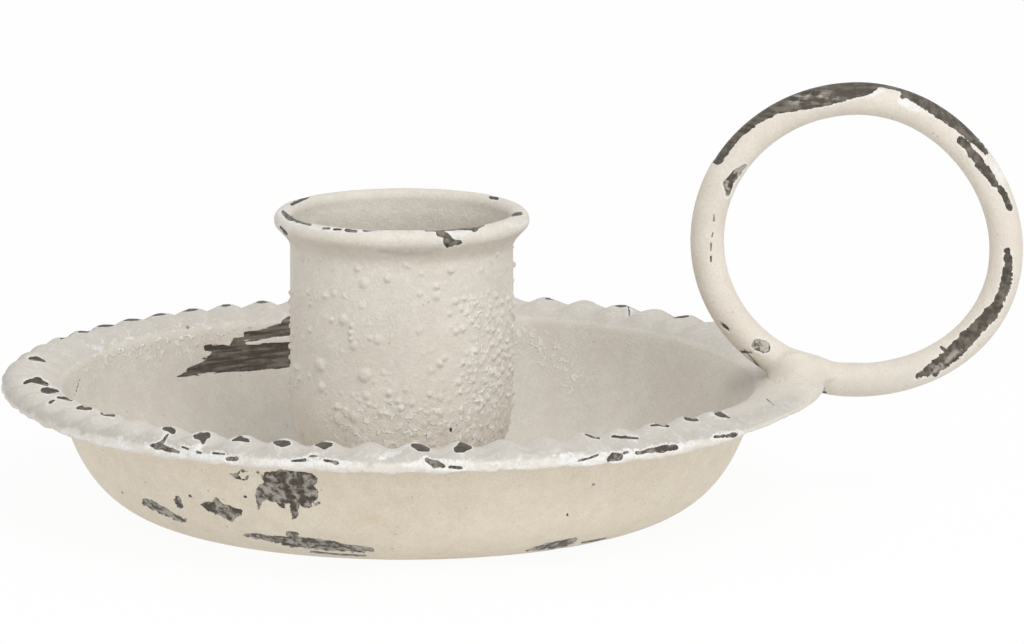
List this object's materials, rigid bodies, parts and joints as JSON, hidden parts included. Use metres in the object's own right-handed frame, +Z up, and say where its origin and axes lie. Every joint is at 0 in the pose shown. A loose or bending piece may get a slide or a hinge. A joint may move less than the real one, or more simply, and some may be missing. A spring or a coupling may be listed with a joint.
{
  "type": "chamber candlestick",
  "caption": "Round painted metal saucer with a bumped rim, an upright candle cup riveted near its centre and a large round-bar finger ring welded to the rim, for carrying a lit candle.",
  "frame": {"origin": "middle of the outline seen from above, on the table that the saucer stands on", "axes": "+X from the saucer towards the ring handle, along the longest extent; +Z up; the handle's ring lies in the XZ plane, which is also the plane of symmetry"},
  "size_m": [0.1818, 0.145, 0.0767],
  "materials": {
    "saucer_paint": "worn satin cream paint over grey iron, chipped on the rim bumps",
    "cup_paint": "satin cream paint with small blisters, chipped at the lip",
    "rivet_paint": "satin cream paint, rubbed",
    "washer_steel": "dull bare steel",
    "handle_paint": "worn satin cream paint, rubbed through on the outside of the ring",
    "weld_paint": "cream paint over a smooth weld, rubbed on its crown"
  },
  "bodies": {
    "root": {"saucer": "saucer_paint", "candle_cup": "cup_paint", "cup_rivet": "rivet_paint", "rivet_washer": "washer_steel", "ring_handle": "handle_paint", "handle_weld": "weld_paint"}
  },
  "joints": []
}
